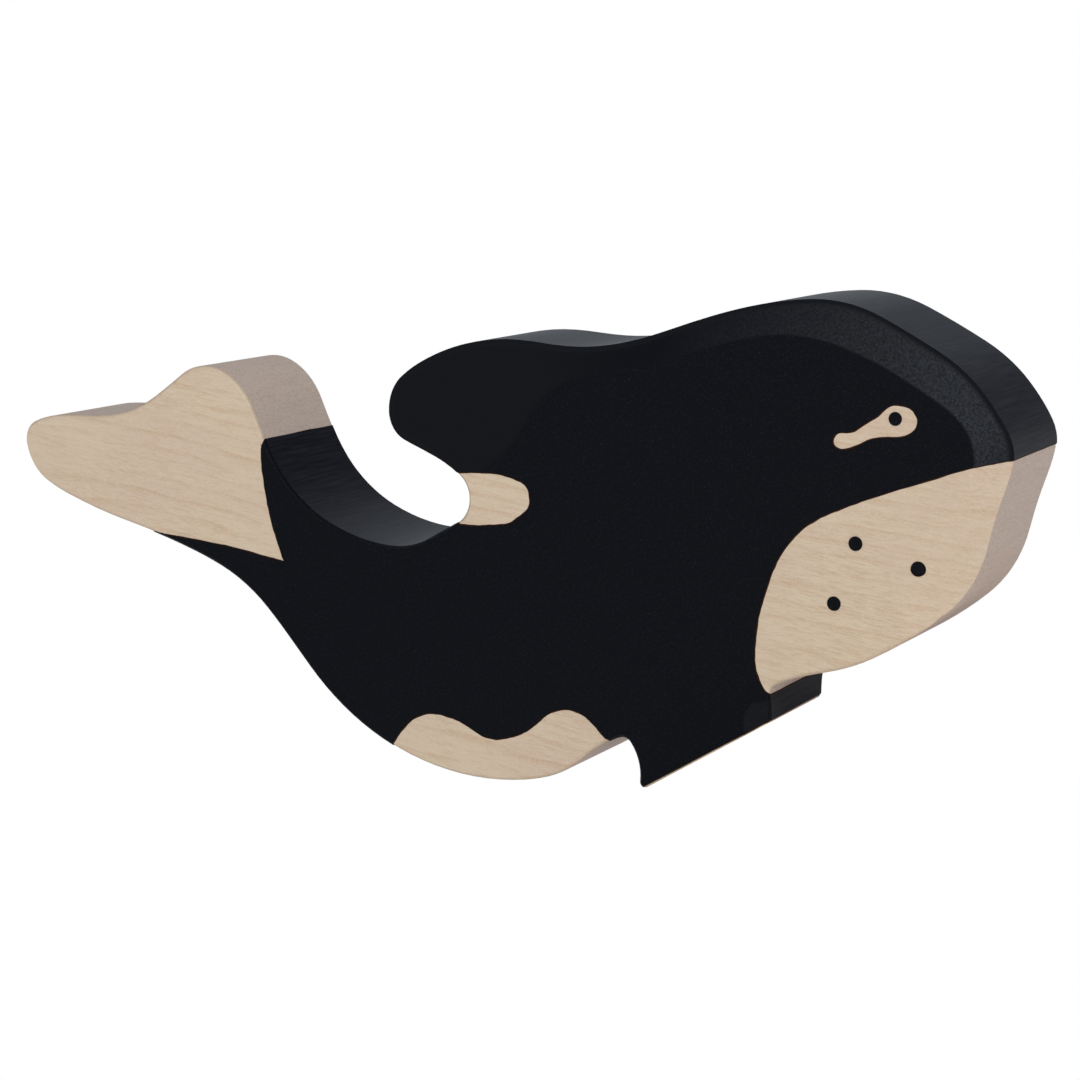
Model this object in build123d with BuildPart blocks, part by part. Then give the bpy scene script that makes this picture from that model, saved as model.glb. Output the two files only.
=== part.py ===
"""Toy orca sawn from one maple plank, painted black with bare wood markings.

The whale dives: it stands on the flat foot under its pectoral fin with its tail up.
Millimetres, +X to the head, +Z up, origin at the middle of the foot, which lies on Z = 0.
The plank's thickness runs along Y, the same to both sides.
"""
import os
from math import sqrt

from build123d import *

# The sawn plank
whale_length = 205.0
whale_height = 135.0
plank_thickness = 26.0
foot_length = 33.4
rim_chamfer = 0.8
foot_corner_round = 1.0
fin_root_round = 2.2

# The wide bevel sanded over the back, brow and snout, and over the whole dorsal fin
bevel_depth = 2.2

# The bevel sanded down the front edge of the pectoral fin
fin_bevel_depth = 1.8

# The paint
paint_thickness = 0.15
paint_above_floor = 0.4
eye_diameter = 2.5
snout_dot_diameter = 2.7

quarter_turn = 90
# Largest lean, as the Y of its normal, of a face that counts as a narrow side
narrow_side_lean = 0.01
# Share of a growth that goes into a chamfer's legs, so that its sloping face moves out as far
chamfer_growth = 2 - sqrt(2)
half_thickness = plank_thickness / 2
half_foot = foot_length / 2
# Reach of a cut or a colour field past the plank's faces
overrun = plank_thickness

# Points are shares of the whale's length and height, from the middle of the foot
belly_shares = [
    (-0.063, 0.081), (-0.098, 0.085), (-0.139, 0.078), (-0.190, 0.094), (-0.354, 0.354),
    (-0.371, 0.473), (-0.390, 0.579),
]
tail_shares = [
    (-0.430, 0.670), (-0.554, 0.874), (-0.577, 0.955), (-0.562, 1.001), (-0.534, 1.000),
    (-0.484, 0.963), (-0.426, 0.923), (-0.380, 0.916), (-0.305, 0.904), (-0.282, 0.855),
]
tail_stock_shares = [
    (-0.284, 0.747), (-0.282, 0.669), (-0.221, 0.522), (-0.177, 0.485), (-0.140, 0.480),
    (-0.106, 0.485), (-0.092, 0.515), (-0.098, 0.557),
]
dorsal_fin_shares = [
    (-0.122, 0.610), (-0.139, 0.656), (-0.125, 0.699), (-0.078, 0.715), (0.034, 0.659),
    (0.079, 0.610),
]
back_shares = [
    (0.141, 0.565), (0.208, 0.539), (0.284, 0.503), (0.351, 0.441), (0.386, 0.365),
    (0.413, 0.282), (0.420, 0.213), (0.415, 0.161),
]
chin_shares = [
    (0.398, 0.132), (0.370, 0.096), (0.335, 0.048), (0.234, 0.011), (0.176, 0.018),
    (0.138, 0.034), (0.100, 0.043),
]
fin_hollow_share = (-0.0635, 0.038)

# The bevel starts on each face at the inner line and is full depth at the outer line
bevel_inner_shares = [
    (-0.144, 0.552), (-0.059, 0.521), (-0.024, 0.527), (0.023, 0.559), (0.063, 0.564),
    (0.136, 0.528), (0.215, 0.493), (0.289, 0.448), (0.341, 0.368), (0.375, 0.281),
    (0.389, 0.207), (0.376, 0.166), (0.317, 0.133), (0.263, 0.067), (0.234, -0.059),
]
bevel_outer_shares = [
    (-0.151, 0.578), (-0.163, 0.652), (-0.127, 0.719), (-0.049, 0.748), (0.039, 0.681),
    (0.151, 0.606), (0.234, 0.567), (0.320, 0.504), (0.385, 0.411), (0.427, 0.304),
    (0.444, 0.185), (0.424, 0.111), (0.376, 0.052), (0.312, -0.015), (0.244, -0.089),
]
bevel_beyond_shares = [(0.550, -0.200), (0.550, 0.960), (-0.205, 0.960), (-0.205, 0.600)]
fin_bevel_inner_shares = [(0.053, -0.030), (0.056, 0.010), (0.072, 0.034), (0.100, 0.030)]
fin_bevel_outer_shares = [(0.085, -0.030), (0.090, 0.005), (0.104, 0.020), (0.125, 0.010)]
fin_bevel_beyond_shares = [(0.130, -0.030)]

# Bare wood markings, each a curve across the whale and a way round outside it
tail_mark_front_shares = [
    (-0.244, 0.756), (-0.288, 0.747), (-0.298, 0.725), (-0.308, 0.692), (-0.318, 0.653),
    (-0.325, 0.614), (-0.330, 0.574),
]
tail_mark_belly_shares = [
    (-0.330, 0.574), (-0.359, 0.610), (-0.380, 0.637), (-0.411, 0.672), (-0.456, 0.721),
    (-0.498, 0.763),
]
tail_mark_beyond_shares = [(-0.650, 0.763), (-0.650, 1.100), (-0.244, 1.100)]
saddle_mark_shares = [
    (-0.107, 0.552), (-0.089, 0.540), (-0.069, 0.524), (-0.050, 0.506), (-0.038, 0.489),
    (-0.030, 0.471), (-0.031, 0.455), (-0.039, 0.440), (-0.053, 0.436), (-0.067, 0.436),
    (-0.083, 0.446), (-0.099, 0.457), (-0.119, 0.476), (-0.132, 0.490),
]
saddle_mark_beyond_shares = [(-0.125, 0.520)]
belly_mark_shares = [
    (-0.341, 0.222), (-0.312, 0.242), (-0.277, 0.258), (-0.254, 0.253), (-0.238, 0.237),
    (-0.223, 0.214), (-0.212, 0.188), (-0.197, 0.169), (-0.178, 0.160), (-0.157, 0.157),
    (-0.137, 0.162), (-0.118, 0.162), (-0.105, 0.154), (-0.094, 0.139), (-0.087, 0.113),
    (-0.082, 0.085), (-0.080, 0.059),
]
belly_mark_beyond_shares = [(-0.080, -0.050), (-0.400, -0.050), (-0.400, 0.222)]
snout_mark_shares = [
    (0.468, 0.132), (0.420, 0.151), (0.376, 0.173), (0.337, 0.186), (0.297, 0.199),
    (0.265, 0.208), (0.237, 0.214), (0.215, 0.215), (0.195, 0.209), (0.178, 0.199),
    (0.164, 0.187), (0.149, 0.169), (0.133, 0.148), (0.120, 0.128), (0.107, 0.102),
    (0.098, 0.078), (0.095, 0.058), (0.099, 0.022),
]
snout_mark_beyond_shares = [(0.130, -0.100), (0.550, -0.100), (0.550, 0.132)]
eye_mark_shares = [
    (0.278, 0.300), (0.274, 0.290), (0.279, 0.280), (0.306, 0.272), (0.326, 0.260),
    (0.341, 0.251), (0.352, 0.255), (0.357, 0.271), (0.352, 0.287), (0.341, 0.297),
    (0.325, 0.295), (0.308, 0.294), (0.292, 0.296),
]
eye_share = (0.338, 0.279)
snout_dot_shares = {"upper": (0.247, 0.160), "front": (0.288, 0.089), "rear": (0.200, 0.103)}

sides = {"right": 1, "left": -1}


def at(share):
    """Place on the side view, across and up, of a pair of shares."""
    return (share[0] * whale_length, share[1] * whale_height)


def places(shares):
    """Places of a table of shares."""
    return [at(share) for share in shares]


def arc_stops(points):
    """Ends of the tangent arcs, two to a span, that follow a smooth curve through points.

    Each stop is a place and the direction in which the chain of arcs passes it.
    """
    with BuildLine(mode=Mode.PRIVATE):
        curve = Spline(*points)
    marks = [Vector(*point) for point in points]
    ways = [curve % curve.param_at_point(mark) for mark in marks]
    stops = [(marks[0], ways[0])]
    for start, end, start_way, end_way in zip(marks, marks[1:], ways, ways[1:]):
        chord = end - start
        along = chord.dot(start_way + end_way)
        turn = 2 * (1 - start_way.dot(end_way))
        squared = chord.dot(chord)
        handle = squared / (along + sqrt(along * along + turn * squared))
        first_knee = start + start_way * handle
        last_knee = end - end_way * handle
        stops.append(((first_knee + last_knee) / 2, (last_knee - first_knee).normalized()))
        stops.append((end, end_way))
    return stops


def let_out(stop, growth):
    """A stop of a chain that runs clockwise round the whale, moved outwards by growth."""
    place, way = stop
    return (place + way.rotate(Axis.Z, quarter_turn) * growth, way)


def side_view(growth):
    """Drawing of the sawn outline, let out all round by the paint's thickness or by nothing."""
    body_shares = (belly_shares + tail_shares + tail_stock_shares + dorsal_fin_shares
                   + back_shares + chin_shares)
    stops = [let_out(stop, growth) for stop in arc_stops(places(body_shares))]
    fin_root, chin_end = stops[0][0], stops[-1][0]
    foot_corner = half_foot + growth
    heel = Vector(-foot_corner, -growth)
    toe = Vector(foot_corner, -growth)
    with BuildSketch() as outline:
        with BuildLine():
            for (start, way), (end, end_way) in zip(stops, stops[1:]):
                TangentArc(start, end, tangent=way)
            Line(chin_end, toe)
            Line(toe, heel)
            ThreePointArc(heel, Vector(*at(fin_hollow_share)) - (growth, 0), fin_root)
        make_face()
        corners = outline.vertices()
        fillet([corners.sort_by_distance(corner)[0] for corner in (heel, toe)],
               foot_corner_round + growth)
        corners = outline.vertices()
        fillet([corners.sort_by_distance(corner)[0] for corner in (fin_root, chin_end)],
               fin_root_round - growth)
    return outline.sketch


def bevel_cut(side, growth, depth, inner_shares, outer_shares, beyond_shares):
    """Wedge that takes the bevel off one face."""
    face = half_thickness + growth
    with BuildPart() as cut:
        for level, shares in ((face, inner_shares), (face - depth, outer_shares)):
            with BuildSketch(Plane.XZ.offset(side * level)):
                with BuildLine():
                    edge = Spline(*places(shares))
                    Polyline(edge @ 1, *places(beyond_shares), edge @ 0)
                make_face()
        loft(ruled=True)
    return cut.part


def is_narrow_side(face):
    """A face of the plank that runs straight through its thickness."""
    return abs(face.normal_at(face.center()).Y) < narrow_side_lean


def rims(part):
    """Edges round both faces of the plank, where they meet its narrow sides."""
    found = ShapeList()
    for face in part.faces().filter_by(is_narrow_side):
        for edge in face.edges():
            run = (edge @ 1) - (edge @ 0)
            crosses = abs(run.Y) > 0 and edge.geom_type == GeomType.LINE
            if not crosses:
                found.append(edge)
    return found


def sawn_blank(growth):
    """The plank sawn, its rims broken and bevelled, let out all round by growth."""
    outline = side_view(growth)
    cuts = []
    for side in sides.values():
        cuts.append(bevel_cut(side, growth, bevel_depth, bevel_inner_shares,
                              bevel_outer_shares, bevel_beyond_shares))
        cuts.append(bevel_cut(side, growth, fin_bevel_depth, fin_bevel_inner_shares,
                              fin_bevel_outer_shares, fin_bevel_beyond_shares))
    face = half_thickness + growth
    with BuildPart() as blank:
        with BuildSketch(Plane.XZ.offset(face)):
            add(outline)
        extrude(amount=-2 * face)
        chamfer(rims(blank.part), rim_chamfer + chamfer_growth * growth)
        for cut in cuts:
            add(cut, mode=Mode.SUBTRACT)
    return blank.part


def marking(shares, beyond_shares):
    """Bare wood field from one curve across the whale and a way round outside it."""
    with BuildSketch() as field:
        with BuildLine():
            edge = Spline(*places(shares))
            Polyline(edge @ 1, *places(beyond_shares), edge @ 0)
        make_face()
    return field.sketch


def tail_marking():
    """Bare tail flukes, whose edge comes to a point on the tail stock."""
    with BuildSketch() as field:
        with BuildLine():
            front = Spline(*places(tail_mark_front_shares))
            belly = Spline(*places(tail_mark_belly_shares))
            Polyline(belly @ 1, *places(tail_mark_beyond_shares), front @ 0)
        make_face()
    return field.sketch


def eye_marking():
    """Bare teardrop round the eye, one closed curve."""
    with BuildSketch() as field:
        with BuildLine():
            Spline(*places(eye_mark_shares), periodic=True)
        make_face()
    return field.sketch


# Wooden body
wood_blank = sawn_blank(0)
with BuildPart() as wood_body:
    add(wood_blank)
wood_body.part.label = "wood_body"

# Coat of paint that would cover the whole body
with BuildPart() as paint_film:
    add(sawn_blank(paint_thickness))
    add(wood_blank, mode=Mode.SUBTRACT)
    split(bisect_by=Plane.XY.offset(paint_above_floor), keep=Keep.TOP)

# Black coat, with the markings and the foot left bare
markings = [
    tail_marking(),
    marking(saddle_mark_shares, saddle_mark_beyond_shares),
    marking(belly_mark_shares, belly_mark_beyond_shares),
    marking(snout_mark_shares, snout_mark_beyond_shares),
    eye_marking(),
]
with BuildPart() as black_coat:
    add(paint_film.part)
    with BuildSketch(Plane.XZ):
        for field in markings:
            add(field)
    extrude(amount=overrun, both=True, mode=Mode.SUBTRACT)
black_coat.part.label = "black_coat"

# Painted dots, one of each on both faces
dots = {"eye": (eye_share, eye_diameter)}
for place, share in snout_dot_shares.items():
    dots["snout_dot_" + place] = (share, snout_dot_diameter)
painted_dots = []
for side_name, side in sides.items():
    for dot_name, (share, diameter) in dots.items():
        with BuildPart() as dot:
            add(paint_film.part)
            with BuildSketch(Plane.XZ):
                with Locations(at(share)):
                    Circle(diameter / 2)
            extrude(amount=side * overrun, mode=Mode.INTERSECT)
        dot.part.label = side_name + "_" + dot_name
        painted_dots.append(dot.part)

os.makedirs("parts", exist_ok=True)
for piece in [wood_body.part, black_coat.part, *painted_dots]:
    export_step(piece, "parts/" + piece.label + ".step")
    print(piece.label, len(piece.solids()), "solids", round(piece.volume, 2), "mm3", piece.is_valid)
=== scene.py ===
"""Looks of a toy orca sawn from one maple plank and painted black, standing on its pectoral fin."""
import math

import bpy
from mathutils import Matrix, Vector, noise
from mathutils.bvhtree import BVHTree
from mathutils.kdtree import KDTree


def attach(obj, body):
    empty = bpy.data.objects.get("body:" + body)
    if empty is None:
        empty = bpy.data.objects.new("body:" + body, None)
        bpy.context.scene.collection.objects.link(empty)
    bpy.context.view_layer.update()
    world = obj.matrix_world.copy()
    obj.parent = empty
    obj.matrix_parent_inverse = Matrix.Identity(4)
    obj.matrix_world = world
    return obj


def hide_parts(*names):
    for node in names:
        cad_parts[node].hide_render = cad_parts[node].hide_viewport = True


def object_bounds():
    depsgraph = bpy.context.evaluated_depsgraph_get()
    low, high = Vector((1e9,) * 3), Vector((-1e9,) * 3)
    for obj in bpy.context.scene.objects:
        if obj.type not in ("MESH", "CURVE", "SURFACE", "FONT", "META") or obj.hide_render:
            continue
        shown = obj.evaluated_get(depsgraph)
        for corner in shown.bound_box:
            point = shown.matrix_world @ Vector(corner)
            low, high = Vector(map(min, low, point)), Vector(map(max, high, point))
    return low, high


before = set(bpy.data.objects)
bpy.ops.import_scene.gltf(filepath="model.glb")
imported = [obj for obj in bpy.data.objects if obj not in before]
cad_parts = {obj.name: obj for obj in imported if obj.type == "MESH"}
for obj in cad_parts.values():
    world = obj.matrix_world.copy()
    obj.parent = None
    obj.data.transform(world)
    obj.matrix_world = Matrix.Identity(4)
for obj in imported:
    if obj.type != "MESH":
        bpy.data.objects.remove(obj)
cad_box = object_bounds()

# Wooden body: one blank of pale maple, sawn from a plank and sanded, with broken rims and a wide
# bevel over the head. Its bare wood shows at the tail, saddle, belly, snout and round the eye.
MILLIMETRE = 0.001
WELD = 0.00001 * MILLIMETRE
SOFT_EDGE = math.radians(50)
RIM_REACH = math.radians(80)
LEVEL_WITHIN = 0.002 * MILLIMETRE
# How squarely a face looks through the plank, at most on a narrow side and at least on a broad one
NARROW_LEAN = 0.1
BROAD_LEAN = 0.9
THROUGH = (0, 1, 0)
# The fibres slope down towards the head, by this angle from the foot's line
FIBRE_SLOPE = math.radians(-39)
FIBRE = (math.cos(FIBRE_SLOPE), 0, math.sin(FIBRE_SLOPE))
ACROSS_FIBRE = (-math.sin(FIBRE_SLOPE), 0, math.cos(FIBRE_SLOPE))
# Middle of the log, in millimetres from the foot: across the fibres, and through the plank
PITH_ACROSS = -55
PITH_THROUGH = 70
RING_WIDTH = 2.5
RING_WANDER = 8.0
SNOUT_ROOT = (42, 10, 0)
# The bare muzzle, where the plank's own crest shows: forward of the one and below the other
MUZZLE_FROM = 56 * MILLIMETRE
MUZZLE_BELOW = 30.5 * MILLIMETRE
BARE_CREST = 0.25 * MILLIMETRE
CREST_SEGMENTS = 4
CREST_FULLNESS = 0.7


def only(piece):
    """Makes piece the one selected and active object."""
    bpy.ops.object.select_all(action="DESELECT")
    piece.select_set(True)
    bpy.context.view_layer.objects.active = piece


def merged_copy(node, name):
    """A copy of a CAD node's loose triangles, welded into one skin."""
    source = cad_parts[node]
    piece = bpy.data.objects.new(name, source.data.copy())
    bpy.context.scene.collection.objects.link(piece)
    piece.data.materials.clear()
    only(piece)
    bpy.ops.object.mode_set(mode="EDIT")
    bpy.ops.mesh.select_all(action="SELECT")
    bpy.ops.mesh.remove_doubles(threshold=WELD)
    bpy.ops.mesh.customdata_custom_splitnormals_clear()
    bpy.ops.mesh.select_all(action="DESELECT")
    bpy.ops.object.mode_set(mode="OBJECT")
    return piece


def faces_by_edge(mesh):
    """The faces that meet at each edge."""
    meet = {edge.key: [] for edge in mesh.edges}
    for face in mesh.polygons:
        for key in face.edge_keys:
            meet[key].append(face)
    return meet


def lean(face):
    """How squarely a face looks through the plank: one on flat faces, zero on narrow sides."""
    return abs(face.normal.y)


def select_edges(piece, wanted):
    """Selects just the edges of piece with these keys, ready for edit mode."""
    mesh = piece.data
    for part in (mesh.vertices, mesh.polygons):
        part.foreach_set("select", [False] * len(part))
    mesh.edges.foreach_set("select", [edge.key in wanted for edge in mesh.edges])


def is_crest(faces):
    """Whether the faces at an edge are a broad one and a narrow side."""
    leans = sorted(lean(face) for face in faces)
    return leans[0] < NARROW_LEAN and leans[-1] > BROAD_LEAN


def round_crests(piece, chosen, width):
    """Rounds the crest where the bevel meets the narrow sides, between the chosen vertices."""
    wanted = set()
    for key, faces in faces_by_edge(piece.data).items():
        if is_crest(faces) and chosen[key[0]] and chosen[key[1]]:
            wanted.add(key)
    only(piece)
    select_edges(piece, wanted)
    bpy.ops.object.mode_set(mode="EDIT")
    bpy.ops.mesh.select_mode(type="EDGE")
    bpy.ops.mesh.bevel(
        offset=width, segments=CREST_SEGMENTS, profile=CREST_FULLNESS, clamp_overlap=True)
    bpy.ops.object.mode_set(mode="OBJECT")


# The parts of the plank's skin, in the order in which a rim's shading takes after them
FLAT, BEVEL, SIDE, RIM = range(4)


def sort_faces(mesh):
    """Which part of the plank's skin each face belongs to."""
    level = max(abs(vertex.co.y) for vertex in mesh.vertices) - LEVEL_WITHIN
    kinds = []
    for face in mesh.polygons:
        if all(abs(mesh.vertices[corner].co.y) > level for corner in face.vertices):
            kinds.append(FLAT)
        elif lean(face) > BROAD_LEAN:
            kinds.append(BEVEL)
        else:
            kinds.append(SIDE if lean(face) < NARROW_LEAN else RIM)
    return kinds


def shade(piece):
    """Shades flat faces flat, curved ones smooth, and rims as if sanded round between the two."""
    only(piece)
    bpy.ops.object.shade_smooth()
    mesh = piece.data
    kinds = sort_faces(mesh)
    met = [{} for vertex in mesh.vertices]
    for face, kind in zip(mesh.polygons, kinds):
        for corner in face.vertices:
            met[corner].setdefault(kind, []).append(face.normal * face.area)
    normals = []
    for face, kind in zip(mesh.polygons, kinds):
        for corner in face.vertices:
            like = min(met[corner]) if kind == RIM else kind
            reach = SOFT_EDGE if like == kind else RIM_REACH
            near = [n for n in met[corner][like] if n.angle(face.normal, math.pi) < reach]
            normal = sum(near, Vector())
            normals.append(normal.normalized() if normal.length else face.normal)
    mesh.normals_split_custom_set(normals)
    for name, kind in (("narrow", SIDE), ("bevel", BEVEL)):
        mask = mesh.attributes.new(name, "FLOAT", "FACE")
        mask.data.foreach_set("value", [float(found == kind) for found in kinds])


class Wires:
    """Adds and joins the nodes of one material or node group."""

    def __init__(self, tree):
        self.tree = tree

    def add(self, kind, **settings):
        node = self.tree.nodes.new(kind)
        for key, value in settings.items():
            setattr(node, key, value)
        return node

    def put(self, socket, value):
        if isinstance(value, bpy.types.NodeSocket):
            self.tree.links.new(value, socket)
        elif value is not None:
            socket.default_value = value

    def math(self, operation, a, b=None):
        node = self.add("ShaderNodeMath", operation=operation)
        for socket, value in zip(node.inputs, (a, b)):
            self.put(socket, value)
        return node.outputs[0]

    def dot(self, vector, direction):
        node = self.add("ShaderNodeVectorMath", operation="DOT_PRODUCT")
        self.put(node.inputs[0], vector)
        node.inputs[1].default_value = direction
        return node.outputs["Value"]

    def stretched(self, parts, rates):
        """A vector of three values, each times its rate."""
        node = self.add("ShaderNodeCombineXYZ")
        for socket, value, rate in zip(node.inputs, parts, rates):
            self.put(socket, self.math("MULTIPLY", value, rate))
        return node.outputs[0]

    def noise(self, parts, rates, detail, roughness):
        node = self.add("ShaderNodeTexNoise")
        self.put(node.inputs["Vector"], self.stretched(parts, rates))
        node.inputs["Scale"].default_value = 1.0
        node.inputs["Detail"].default_value = detail
        node.inputs["Roughness"].default_value = roughness
        return node.outputs["Fac"]

    def span(self, value, low, high, to_low=0.0, to_high=1.0):
        """Maps low..high to to_low..to_high and holds it there."""
        node = self.add("ShaderNodeMapRange")
        for socket, number in zip(node.inputs, (value, low, high, to_low, to_high)):
            self.put(socket, number)
        return node.outputs[0]

    def mix(self, share, first, second):
        """Mixes two colours; the node's sockets for colours have the numbers 6 and 7."""
        node = self.add("ShaderNodeMix", data_type="RGBA")
        sockets = [node.inputs[0], node.inputs[6], node.inputs[7]]
        for socket, value in zip(sockets, (share, first, second)):
            self.put(socket, value)
        return node.outputs[2]


# Noises of the grain, in millimetres along the fibres, across them and through the plank, or
# upright for the last two: their waves in a millimetre each way, their detail and their roughness
DRIFT_NOISE = ((0.014, 0.06, 0.06), 3.0, 0.5)
YEAR_NOISE = ((0.08, 0.77, 0.05), 2.0, 0.5)
FIBRE_NOISE = ((0.13, 1.15, 1.15), 3.0, 0.6)
DENSITY_NOISE = ((0.02, 0.045, 0.045), 1.0, 0.5)
FLECK_NOISE = ((0.38, 3.6, 3.6), 2.0, 0.5)
MOTTLE_NOISE = ((1.5, 3.4, 3.4), 3.0, 0.65)
TONE_NOISE = ((0.03, 0.09, 0.09), 2.0, 0.5)
BLADE_NOISE = ((2.0, 0.09, 2.0), 2.0, 0.6)
PORE_NOISE = ((2.3, 1.6, 2.3), 2.0, 0.65)
# Spans, from low to high, and what they turn into unless that is 0 to 1
LATE_RISE = (0.60, 0.90)
LATE_FALL = (0.93, 1.0, 1.0, 0.0)
YEAR_STRENGTH = (0.35, 0.65, 0.1, 1.0)
FLECK_DENSITY = (0.42, 0.62, 0.25, 0.8)
FLECK_SPAN = (0.48, 0.74)
ROOT_REACH = (10, 36, 1.0, 0.0)
# The bevel's finish comes in just below the flat faces, at this distance from the plank's middle
BELOW_FACE = (13.14, 13.05)
# The pale sanded pores and a painted highlight over them start behind the brow, are strongest down
# the front of the head, where the lamp falls, and are faint on the pectoral fin, below the height
# where the second span starts
BROW_WAY = (0.6, 0, -0.8)
BROW_SPAN = (-37, 20)
ABOVE_FIN = (14, 26, 0.2, 1.0)
# The dorsal fin's tone of black fades out towards the head
DORSAL_SPAN = (8, 26, 1.0, 0.0)

GRAIN_OUTPUTS = [
    "Rings", "Fibres", "Flecks", "Mottle", "Tone", "Narrow side", "Bevel", "Brow highlight", "Fin",
    "Saw marks", "End pores",
]
grain_tree = bpy.data.node_groups.new("plank_grain", "ShaderNodeTree")
for output in GRAIN_OUTPUTS:
    grain_tree.interface.new_socket(output, in_out="OUTPUT", socket_type="NodeSocketFloat")
grain = Wires(grain_tree)
grain_out = grain.add("NodeGroupOutput")
place = grain.add("ShaderNodeTexCoord")
scaled = grain.add("ShaderNodeVectorMath", operation="SCALE")
grain.put(scaled.inputs[0], place.outputs["Object"])
scaled.inputs["Scale"].default_value = 1 / MILLIMETRE
# The place in millimetres, and its parts by the fibres and by the plank's own directions
mm = scaled.outputs[0]
lengthwise = [grain.dot(mm, way) for way in (FIBRE, ACROSS_FIBRE, THROUGH)]
upright = [grain.dot(mm, way) for way in ((1, 0, 0), THROUGH, (0, 0, 1))]

# Yearly rings round the pith, each with a band of late wood that comes and goes along it
drift = grain.noise(lengthwise, *DRIFT_NOISE)
wave = grain.math("MULTIPLY", grain.math("SUBTRACT", drift, 0.5), RING_WANDER)
rise = grain.math("SUBTRACT", lengthwise[1], PITH_ACROSS)
depth = grain.math("SUBTRACT", lengthwise[2], PITH_THROUGH)
squares = [grain.math("MULTIPLY", leg, leg) for leg in (rise, depth)]
from_pith = grain.math("ADD", grain.math("SQRT", grain.math("ADD", *squares)), wave)
years = grain.math("DIVIDE", from_pith, RING_WIDTH)
season = grain.math("FRACT", years)
late = grain.math("MULTIPLY", grain.span(season, *LATE_RISE), grain.span(season, *LATE_FALL))
year = [lengthwise[0], grain.math("FLOOR", years), lengthwise[2]]
patchy = grain.span(grain.noise(year, *YEAR_NOISE), *YEAR_STRENGTH)
grain.put(grain_out.inputs["Rings"], grain.math("MULTIPLY", late, patchy))

# Flecks, closest and reddest at the root of the snout
root = grain.add("ShaderNodeVectorMath", operation="DISTANCE")
grain.put(root.inputs[0], grain.stretched([upright[0], upright[2]], (1, 1)))
root.inputs[1].default_value = SNOUT_ROOT
dense = grain.span(grain.noise(lengthwise, *DENSITY_NOISE), *FLECK_DENSITY)
dense = grain.math("MAXIMUM", dense, grain.span(root.outputs["Value"], *ROOT_REACH))
fleck = grain.span(grain.noise(lengthwise, *FLECK_NOISE), *FLECK_SPAN)
grain.put(grain_out.inputs["Flecks"], grain.math("MULTIPLY", fleck, dense))
grain.put(grain_out.inputs["Fibres"], grain.noise(lengthwise, *FIBRE_NOISE))
grain.put(grain_out.inputs["Mottle"], grain.noise(lengthwise, *MOTTLE_NOISE))
grain.put(grain_out.inputs["Tone"], grain.noise(lengthwise, *TONE_NOISE))

# Where on the plank's skin a place lies, from the marks that shade() leaves
narrow = grain.add("ShaderNodeAttribute", attribute_name="narrow").outputs["Fac"]
grain.put(grain_out.inputs["Narrow side"], narrow)
sanded = grain.add("ShaderNodeAttribute", attribute_name="bevel").outputs["Fac"]
below_face = grain.span(grain.math("ABSOLUTE", lengthwise[2]), *BELOW_FACE)
grain.put(grain_out.inputs["Bevel"], grain.math("MULTIPLY", sanded, below_face))
# The painted highlight's gradient on the bevel, brightest down the front of the head
brow = grain.span(grain.dot(mm, BROW_WAY), *BROW_SPAN)
above_fin = grain.span(upright[2], *ABOVE_FIN)
grain.put(grain_out.inputs["Brow highlight"], grain.math("MULTIPLY", brow, above_fin))
grain.put(grain_out.inputs["Fin"], grain.span(upright[0], *DORSAL_SPAN))
blade = grain.noise(upright, *BLADE_NOISE)
grain.put(grain_out.inputs["Saw marks"], grain.math("MULTIPLY", narrow, blade))
grain.put(grain_out.inputs["End pores"], grain.noise(upright, *PORE_NOISE))


def new_finish(name, specular):
    """A material with a Principled shader and the plank's grain placed in it."""
    finish = bpy.data.materials.new(name)
    finish.use_nodes = True
    wires = Wires(finish.node_tree)
    shader = finish.node_tree.nodes["Principled BSDF"]
    shader.inputs["Specular IOR Level"].default_value = specular
    group = wires.add("ShaderNodeGroup", node_tree=grain_tree)
    return finish, wires, shader, group.outputs


def tinted(wires, plank, colour, tints):
    """Lays tints over a colour, each from a low to a high value of one of the grain's outputs."""
    for output, low, high, share, tint in tints:
        colour = wires.mix(wires.span(plank[output], low, high, 0.0, share), colour, tint)
    return colour


def bump_on(wires, shader, height, strength):
    """Small relief of a surface, as deep as a pore."""
    bump = wires.add("ShaderNodeBump")
    bump.inputs["Strength"].default_value = strength
    bump.inputs["Distance"].default_value = PORE_DEPTH
    wires.put(bump.inputs["Height"], height)
    wires.put(shader.inputs["Normal"], bump.outputs[0])


MAPLE_SPECULAR = 0.2
MAPLE_RELIEF = 0.3
PORE_DEPTH = 0.05 * MILLIMETRE
EARLY_WOOD = (0.655, 0.540, 0.400, 1)
LATE_WOOD = (0.540, 0.375, 0.245, 1)
FLECK = (0.460, 0.285, 0.175, 1)
PALE_FIBRE = (0.690, 0.585, 0.465, 1)
ROSY_WOOD = (0.635, 0.500, 0.385, 1)
END_WOOD = (0.560, 0.465, 0.410, 1)
END_PORE = (0.360, 0.270, 0.215, 1)
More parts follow.
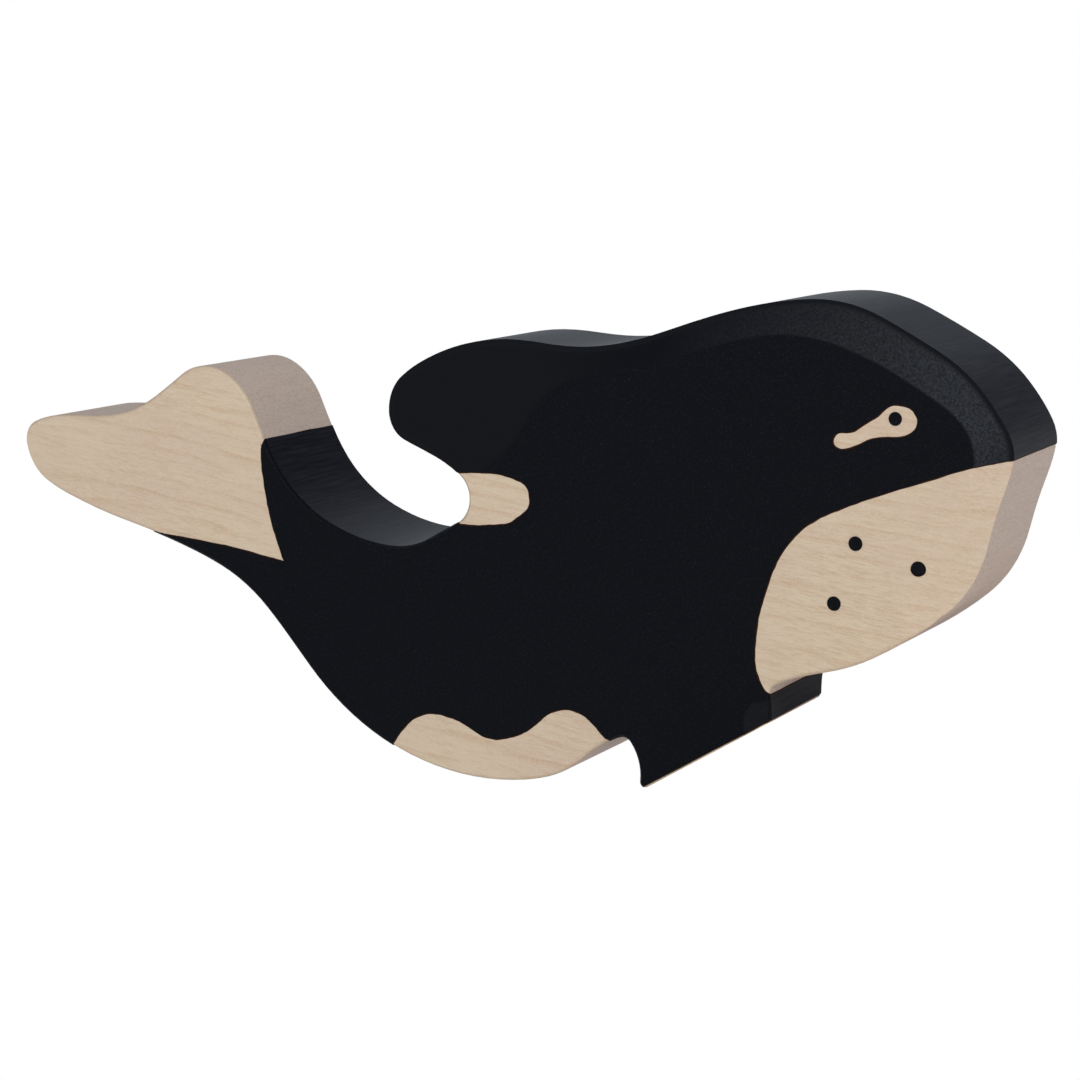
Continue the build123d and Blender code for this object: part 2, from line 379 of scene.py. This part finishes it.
# Each tint: the output it follows, from low to high, its greatest share, and its colour
FACE_TINTS = [
    ("Tone", 0.35, 0.65, 1.0, ROSY_WOOD),
    ("Rings", 0.0, 1.0, 0.60, LATE_WOOD),
    ("Fibres", 0.48, 0.70, 0.42, LATE_WOOD),
    ("Mottle", 0.46, 0.66, 0.55, PALE_FIBRE),
    ("Flecks", 0.0, 1.0, 0.44, FLECK),
]
END_TINTS = [
    ("End pores", 0.42, 0.66, 0.40, END_PORE),
    ("Saw marks", 0.45, 0.70, 0.18, END_PORE),
]
WOOD_ROUGHNESS = (0.3, 0.7, 0.60, 0.72)
maple, wires, shader, plank = new_finish("maple", MAPLE_SPECULAR)
wood = tinted(wires, plank, EARLY_WOOD, FACE_TINTS)
end_wood = tinted(wires, plank, END_WOOD, END_TINTS)
wires.put(shader.inputs["Base Color"], wires.mix(plank["Narrow side"], wood, end_wood))
wires.put(shader.inputs["Roughness"], wires.span(plank["Fibres"], *WOOD_ROUGHNESS))
relief = wires.math("ADD", plank["Fibres"], plank["End pores"])
bump_on(wires, shader, relief, MAPLE_RELIEF)

plank_body = merged_copy("wood_body", "plank_body")
# The bare wood as it was before the crest is rounded, which the edge of the paint lies on
spots = [vertex.co.copy() for vertex in plank_body.data.vertices]
wood_surface = BVHTree.FromPolygons(spots, [face.vertices for face in plank_body.data.polygons])
muzzle = [spot.x > MUZZLE_FROM and spot.z < MUZZLE_BELOW for spot in spots]
round_crests(plank_body, muzzle, BARE_CREST)
shade(plank_body)
plank_body.data.materials.append(maple)
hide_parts("wood_body")
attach(plank_body, "root")

# Black coat: thin water-based paint, rolled on so thin that the wood's pores and the saw's marks
# still show in it. It is darkest on the faces and catches the light on the bevel and narrow sides;
# the bevel also has a painted highlight down the front of the head and a painted shade along its
# crest.
PAINT_SPECULAR = 0.07
PAINT_RELIEF = 0.5
DEEP_BLACK = (0.0035, 0.0040, 0.0066, 1)
SPECK_BLACK = (0.0125, 0.0138, 0.0175, 1)
FIN_BLACK = (0.0060, 0.0066, 0.0086, 1)
# Pale pores of the sanded bevel, together with the painted highlight down the front of the head
SANDED_BLACK_AND_HIGHLIGHT = (0.0360, 0.0400, 0.0470, 1)
SIDE_BLACK = (0.0034, 0.0042, 0.0092, 1)
SIDE_STREAK = (0.0130, 0.0142, 0.0215, 1)
# Painted shade: the dark band along the bevel's crest
CREST_SHADE_BLACK = (0.0080, 0.0086, 0.0108, 1)
SPECKS = [("End pores", 0.54, 0.74, 1.0, SPECK_BLACK)]
SIDE_STREAKS = [("Saw marks", 0.40, 0.70, 1.0, SIDE_STREAK)]
SANDED_PORES = (0.34, 0.66, 0.25, 0.9)
# How far from the crest the painted shade reaches, from full to none
CREST_SHADE_SPAN = (0.50 * MILLIMETRE, 1.30 * MILLIMETRE, 1.0, 0.0)
# On the faces first, and then on the narrow sides
PAINT_ROUGHNESS = (0.60, 0.45)
# Off the bevel first, and then on it
RELIEF_SHARE = (0.5, 2.0)
black_paint, wires, shader, plank = new_finish("black_paint", PAINT_SPECULAR)
# Pale sanded pores on the bevel, strengthened down the front of the head as a painted highlight
pores_and_highlight = wires.math("MULTIPLY", plank["Brow highlight"], wires.span(plank["End pores"], *SANDED_PORES))
sanded_and_highlight_black = wires.mix(plank["Fin"], DEEP_BLACK, FIN_BLACK)
sanded_and_highlight_black = wires.mix(pores_and_highlight, sanded_and_highlight_black, SANDED_BLACK_AND_HIGHLIGHT)
black = wires.mix(plank["Bevel"], tinted(wires, plank, DEEP_BLACK, SPECKS), sanded_and_highlight_black)
side_black = tinted(wires, plank, SIDE_BLACK, SIDE_STREAKS)
black = wires.mix(plank["Narrow side"], black, side_black)
# Along the crest the paint on the bevel is even, dull and dark: the dark band is painted shade,
# where the rounded crest turns away from the light
from_crest = wires.add("ShaderNodeAttribute", attribute_name="from_crest").outputs["Fac"]
crest = wires.math("MULTIPLY", wires.span(from_crest, *CREST_SHADE_SPAN), plank["Bevel"])
wires.put(shader.inputs["Base Color"], wires.mix(crest, black, CREST_SHADE_BLACK))
rough = wires.span(plank["Narrow side"], 0.0, 1.0, *PAINT_ROUGHNESS)
wires.put(shader.inputs["Roughness"], wires.math("MAXIMUM", rough, crest))
relief = wires.math("ADD", plank["End pores"], plank["Saw marks"])
share = wires.span(plank["Bevel"], 0.0, 1.0, *RELIEF_SHARE)
bump_on(wires, shader, wires.math("MULTIPLY", relief, share), PAINT_RELIEF)

FACE_LEVEL = cad_box[1][1]
CREST_STEP = 0.2 * MILLIMETRE
paint_coat = merged_copy("black_coat", "paint_coat")


def mark_crest(piece):
    """Gives each vertex of the coat its distance from the bevel's crest, in metres."""
    mesh = piece.data
    points = []
    for key, faces in faces_by_edge(mesh).items():
        start, end = (mesh.vertices[corner].co for corner in key)
        sunk = max(abs(start.y), abs(end.y)) < FACE_LEVEL - LEVEL_WITHIN
        # A narrow side crosses the plank, while the edge of the film is no deeper than the film
        side = min(faces, key=lean)
        across = [mesh.vertices[corner].co.y for corner in side.vertices]
        if sunk and is_crest(faces) and max(across) - min(across) > MILLIMETRE:
            steps = max(1, round((end - start).length / CREST_STEP))
            points += [start.lerp(end, step / steps) for step in range(steps + 1)]
    crest = KDTree(len(points))
    for index, point in enumerate(points):
        crest.insert(point, index)
    crest.balance()
    away = [crest.find(vertex.co)[2] for vertex in mesh.vertices]
    mesh.attributes.new("from_crest", "FLOAT", "POINT").data.foreach_set("value", away)


shade(paint_coat)
mark_crest(paint_coat)
paint_coat.data.materials.append(black_paint)
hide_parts("black_coat")
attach(paint_coat, "root")

# Edge of the paint: where the coat or a dot stops, thin paint has soaked into the wood and left a
# brown hairline that wanders a little, as the brush did.
FILM_MIDDLE = 0.07 * MILLIMETRE
HAIRLINE = 0.27 * MILLIMETRE
SUNK = 0.15 * MILLIMETRE
WANDER = 0.14 * MILLIMETRE
WANDER_PITCH = 1.4 * MILLIMETRE
WANDER_SEED = 7
# A dot is dabbed on with less paint, so its hairline is finer
DOT_SHARE = 0.5
INSIDE_BOX = 0.01 * MILLIMETRE
OUTERMOST = FACE_LEVEL - HAIRLINE - INSIDE_BOX
EDGE_CUTS = 2
SOAKED_BROWN = (0.042, 0.014, 0.006, 1)
SOAKED_ROUGHNESS = 0.8
SOAKED_SPECULAR = 0.1


def off_wood(piece):
    """For each vertex of a painted skin, whether it lies on the outer face of the paint."""
    return [wood_surface.find_nearest(v.co)[3] > FILM_MIDDLE for v in piece.data.vertices]


def paint_hairline(source, name, share=1.0):
    """A hairline along the foot of the paint's edge, as a fine tube half sunk in the wood."""
    piece = bpy.data.objects.new(name, source.data.copy())
    bpy.context.scene.collection.objects.link(piece)
    outside = off_wood(piece)
    wanted = set()
    for key, faces in faces_by_edge(piece.data).items():
        inner = sum(not any(outside[v] for v in face.vertices) for face in faces)
        if not outside[key[0]] and not outside[key[1]] and inner == 1:
            wanted.add(key)
    only(piece)
    select_edges(piece, wanted)
    bpy.ops.object.mode_set(mode="EDIT")
    bpy.ops.mesh.select_mode(type="EDGE")
    bpy.ops.mesh.select_all(action="INVERT")
    bpy.ops.mesh.delete(type="EDGE_FACE")
    bpy.ops.mesh.select_all(action="SELECT")
    bpy.ops.mesh.delete_loose(use_verts=True, use_edges=False, use_faces=False)
    bpy.ops.mesh.select_all(action="SELECT")
    bpy.ops.mesh.subdivide(number_cuts=EDGE_CUTS)
    bpy.ops.object.mode_set(mode="OBJECT")
    for vertex in piece.data.vertices:
        place, normal = wood_surface.find_nearest(vertex.co)[:2]
        push = noise.noise_vector(place / WANDER_PITCH) * WANDER * share
        vertex.co = place + push - normal * (push.dot(normal) + SUNK * share)
        vertex.co.y = max(-OUTERMOST, min(OUTERMOST, vertex.co.y))
    bpy.ops.object.convert(target="CURVE")
    piece = bpy.context.object
    piece.data.bevel_depth = HAIRLINE * share
    piece.data.bevel_resolution = 1
    bpy.ops.object.convert(target="MESH")
    bpy.ops.object.shade_smooth_by_angle(angle=SOFT_EDGE)
    return bpy.context.object


soaked = bpy.data.materials.new("soaked_edge")
soaked.use_nodes = True
shader = soaked.node_tree.nodes["Principled BSDF"]
shader.inputs["Base Color"].default_value = SOAKED_BROWN
shader.inputs["Roughness"].default_value = SOAKED_ROUGHNESS
shader.inputs["Specular IOR Level"].default_value = SOAKED_SPECULAR

noise.seed_set(WANDER_SEED)
lines = [paint_hairline(paint_coat, "coat_hairline")]
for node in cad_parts:
    if "eye" in node or "dot" in node:
        loose = merged_copy(node, node + "_loose")
        lines.append(paint_hairline(loose, node + "_hairline", DOT_SHARE))
        bpy.data.objects.remove(loose)
for line in lines:
    line.data.materials.clear()
    line.data.materials.append(soaked)
    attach(line, "root")

# Eyes and snout dots: the same black paint, dabbed on the bare wood of both faces. They keep the
# CAD's own shapes.
for node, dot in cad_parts.items():
    if "eye" in node or "dot" in node:
        dot.data.materials.clear()
        dot.data.materials.append(black_paint)

# Floor and studio: a plain white floor that glows a little, soft light all round and one large soft
# lamp in front, towards the head.
FLOOR_SIDE = 6.0
FLOOR_WHITE = (0.85, 0.85, 0.85, 1)
FLOOR_ROUGHNESS = 0.9
# Light that the floor gives off, and what is added to it in the camera's own view
FLOOR_GLOW = 0.30
FLOOR_SHOWN = 0.38
bpy.ops.object.select_all(action="DESELECT")
bpy.ops.mesh.primitive_plane_add(size=FLOOR_SIDE, location=(0, 0, 0))
floor = bpy.context.object
floor.name = "floor"
white = bpy.data.materials.new("white_floor")
white.use_nodes = True
wires = Wires(white.node_tree)
shader = white.node_tree.nodes["Principled BSDF"]
shader.inputs["Base Color"].default_value = FLOOR_WHITE
shader.inputs["Roughness"].default_value = FLOOR_ROUGHNESS
shader.inputs["Specular IOR Level"].default_value = 0.0
seen = wires.add("ShaderNodeLightPath")
shader.inputs["Emission Color"].default_value = (1, 1, 1, 1)
glow = wires.span(seen.outputs["Is Camera Ray"], 0.0, 1.0, FLOOR_GLOW, FLOOR_GLOW + FLOOR_SHOWN)
wires.put(shader.inputs["Emission Strength"], glow)
floor.data.materials.append(white)

SOFT_LIGHT = 0.40
# What a gloss sees: the dim room in front, and the white backdrop behind and above
DIM_ROOM = 0.28
BACKDROP = 0.88
BACKDROP_WAY = (-0.50, 0.50, 0.70)
BACKDROP_EDGE = (0.4, 0.8)
COOL_ROOM = (0.86, 0.93, 1.0, 1)
world = bpy.data.worlds.new("studio")
bpy.context.scene.world = world
world.use_nodes = True
wires = Wires(world.node_tree)
sky = world.node_tree.nodes["Background"]
seen = wires.add("ShaderNodeLightPath")
way = wires.dot(wires.add("ShaderNodeTexCoord").outputs["Generated"], BACKDROP_WAY)
mirrored = wires.span(way, *BACKDROP_EDGE, DIM_ROOM, BACKDROP)
strength = wires.span(seen.outputs["Is Glossy Ray"], 0.0, 1.0, SOFT_LIGHT, mirrored)
shown = wires.math("MAXIMUM", seen.outputs["Is Camera Ray"], seen.outputs["Is Transmission Ray"])
wires.put(sky.inputs["Strength"], wires.span(shown, 0.0, 1.0, strength, 1.0))
wires.put(sky.inputs["Color"], wires.mix(seen.outputs["Is Glossy Ray"], (1, 1, 1, 1), COOL_ROOM))

WHALE_MIDDLE = Vector((-15, 0, 62)) * MILLIMETRE
LAMP_WAY = Vector((0.50, -0.80, 0.33)).normalized()
LAMP_AWAY = 1.2
LAMP_SIDE = 0.9
LAMP_POWER = 6.8
lamp_data = bpy.data.lights.new("front_lamp", "AREA")
lamp_data.size = LAMP_SIDE
lamp_data.energy = LAMP_POWER
lamp = bpy.data.objects.new("front_lamp", lamp_data)
bpy.context.scene.collection.objects.link(lamp)
lamp.location = WHALE_MIDDLE + LAMP_WAY * LAMP_AWAY
lamp.rotation_euler = LAMP_WAY.to_track_quat("Z", "Y").to_euler()

# Camera: close to the floor, in front of the head and rolled, as the photograph was taken.
LENS = 80
SENSOR = 36
NEAREST = 0.005
FARTHEST = 50
CAMERA_PLACE = Vector((237.39, -415.22, 0.4)) * MILLIMETRE
RIGHT = Vector((0.72770, 0.50616, -0.46301))
UP = Vector((0.44824, 0.16008, 0.87944))
camera_data = bpy.data.cameras.new("camera")
camera_data.lens = LENS
camera_data.sensor_width = SENSOR
camera_data.clip_start = NEAREST
camera_data.clip_end = FARTHEST
camera = bpy.data.objects.new("camera", camera_data)
bpy.context.scene.collection.objects.link(camera)
camera.rotation_mode = "QUATERNION"
camera.rotation_quaternion = Matrix((RIGHT, UP, RIGHT.cross(UP))).transposed().to_quaternion()
camera.location = CAMERA_PLACE
bpy.context.scene.camera = camera
bpy.context.scene.view_settings.view_transform = "Standard"
